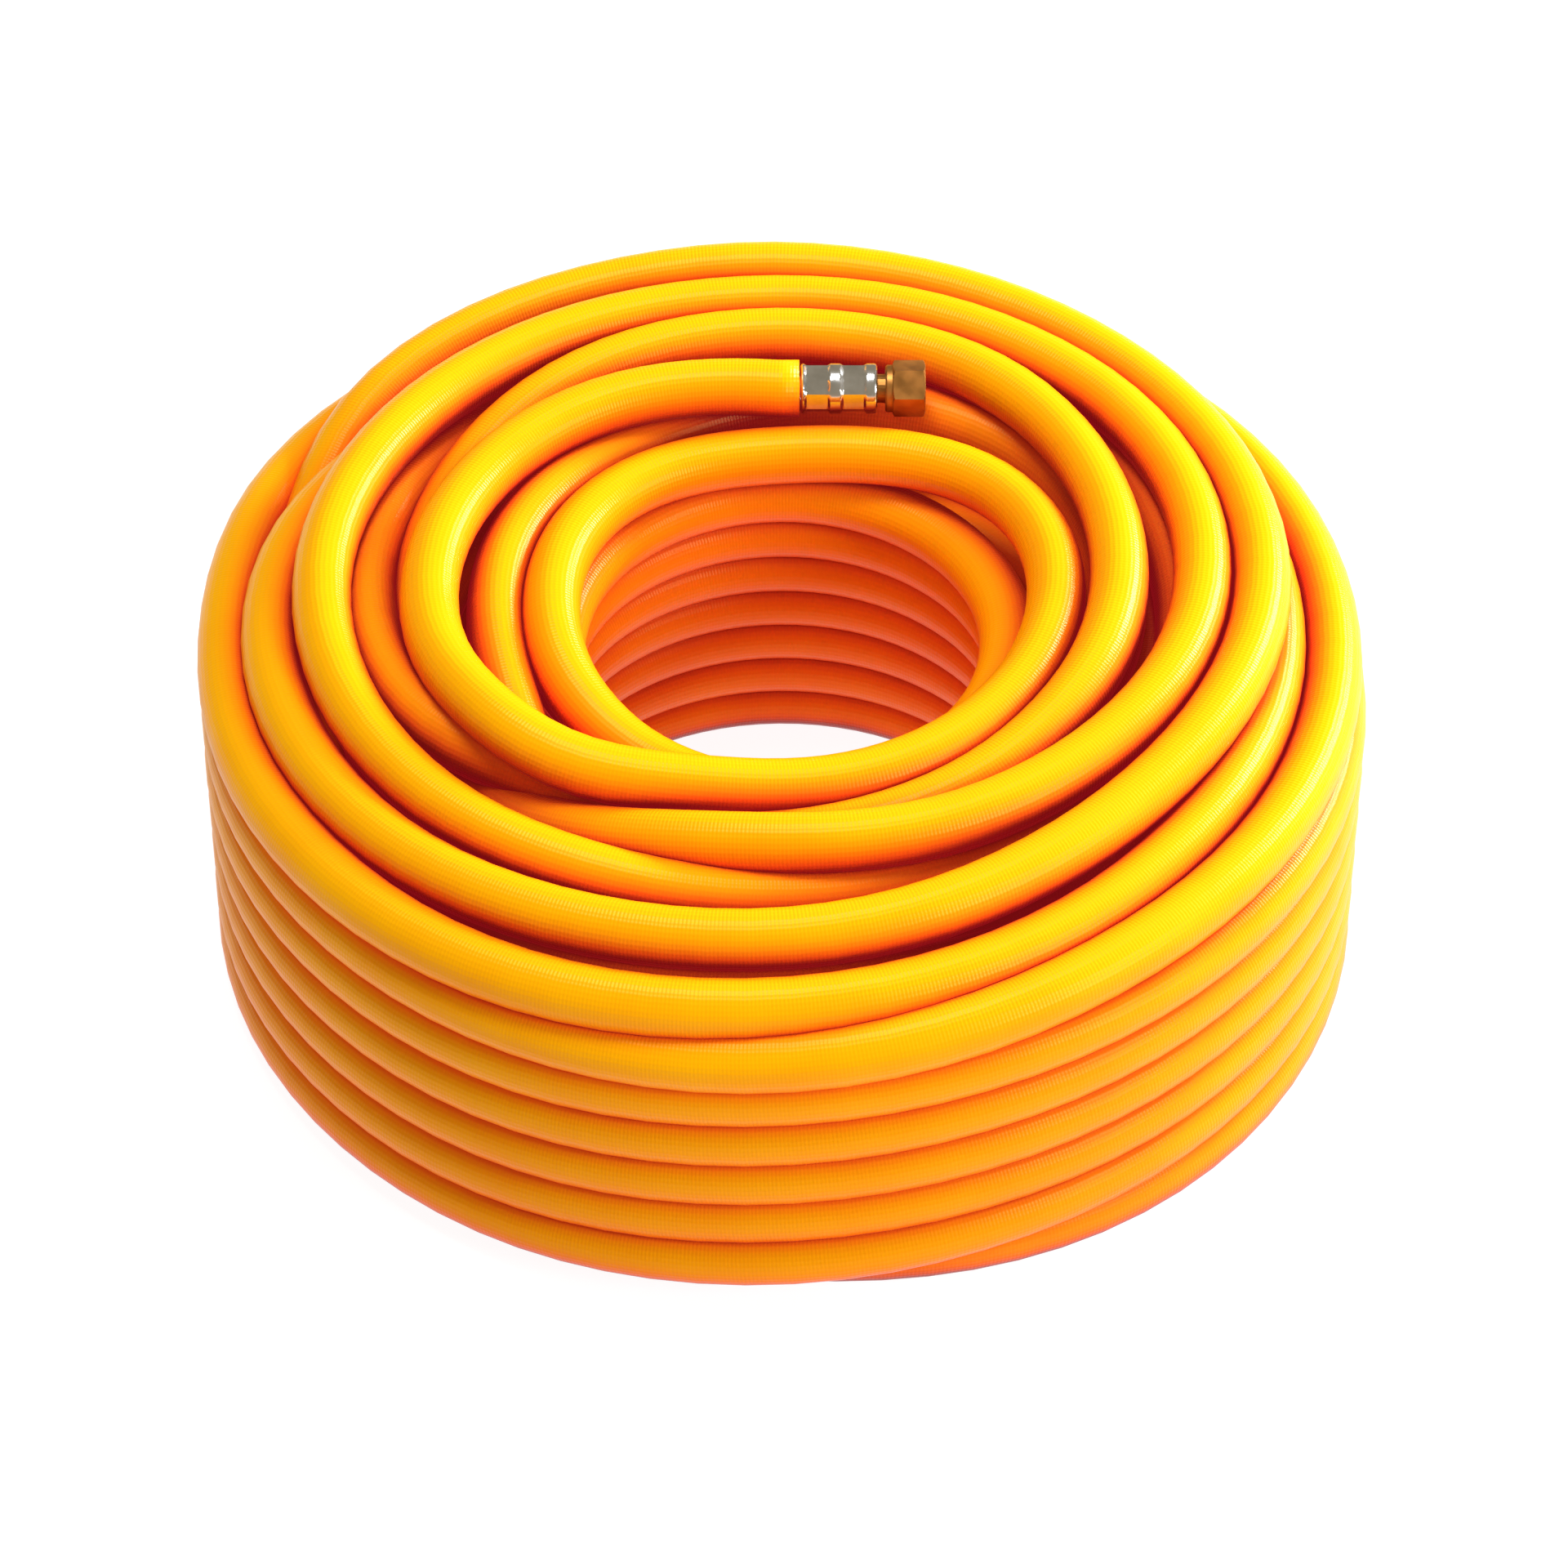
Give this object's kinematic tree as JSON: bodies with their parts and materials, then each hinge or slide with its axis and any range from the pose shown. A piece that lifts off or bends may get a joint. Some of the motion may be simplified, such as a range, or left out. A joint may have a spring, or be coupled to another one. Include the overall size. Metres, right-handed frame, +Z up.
{
  "type": "coiled high-pressure spray hose",
  "caption": "Glossy flexible pressure hose wound into a thick hollow coil, with a crimped ferrule and a hexagonal swivel nut on each end.",
  "frame": {"origin": "middle of the coil's flat underside", "axes": "+Z up along the coil's axis; the inner end's fitting lies at the back (+Y) of the top and points to +X"},
  "size_m": [0.278, 0.278, 0.116],
  "materials": {
    "hose_cover": "glossy, slightly translucent flexible PVC",
    "ferrule_chrome": "bright nickel plate",
    "fitting_brass": "plain turned brass",
    "seal_rubber": "matt"
  },
  "bodies": {
    "hose": {"hose_coil": "hose_cover", "hose_coil_crown": "hose_cover", "hose_coil_shoulder": "hose_cover", "inner_end_hose": "hose_cover", "outer_end_hose": "hose_cover", "inner_end_ferrule": "ferrule_chrome", "outer_end_ferrule": "ferrule_chrome", "inner_end_hose_stem": "fitting_brass", "outer_end_hose_stem": "fitting_brass"},
    "inner_end_washer": {"inner_end_sealing_washer": "seal_rubber"},
    "inner_end_nut": {"inner_end_swivel_nut": "fitting_brass"},
    "outer_end_washer": {"outer_end_sealing_washer": "seal_rubber"},
    "outer_end_nut": {"outer_end_swivel_nut": "fitting_brass"}
  },
  "joints": [
    {"name": "inner_nut_slide", "type": "slide", "parent": "hose", "child": "inner_end_washer", "axis": [1, 0, 0], "range_m": [-0.0016, 0.0004]},
    {"name": "inner_nut_spin", "type": "hinge", "parent": "inner_end_washer", "child": "inner_end_nut", "pos_m": [0.0301, 0.064, 0.109], "axis": [1, 0, 0], "continuous": true},
    {"name": "outer_nut_slide", "type": "slide", "parent": "hose", "child": "outer_end_washer", "axis": [-1, 0, 0], "range_m": [-0.0016, 0.0004]},
    {"name": "outer_nut_spin", "type": "hinge", "parent": "outer_end_washer", "child": "outer_end_nut", "pos_m": [-0.0131, 0.1255, 0.0955], "axis": [-1, 0, 0], "continuous": true}
  ]
}
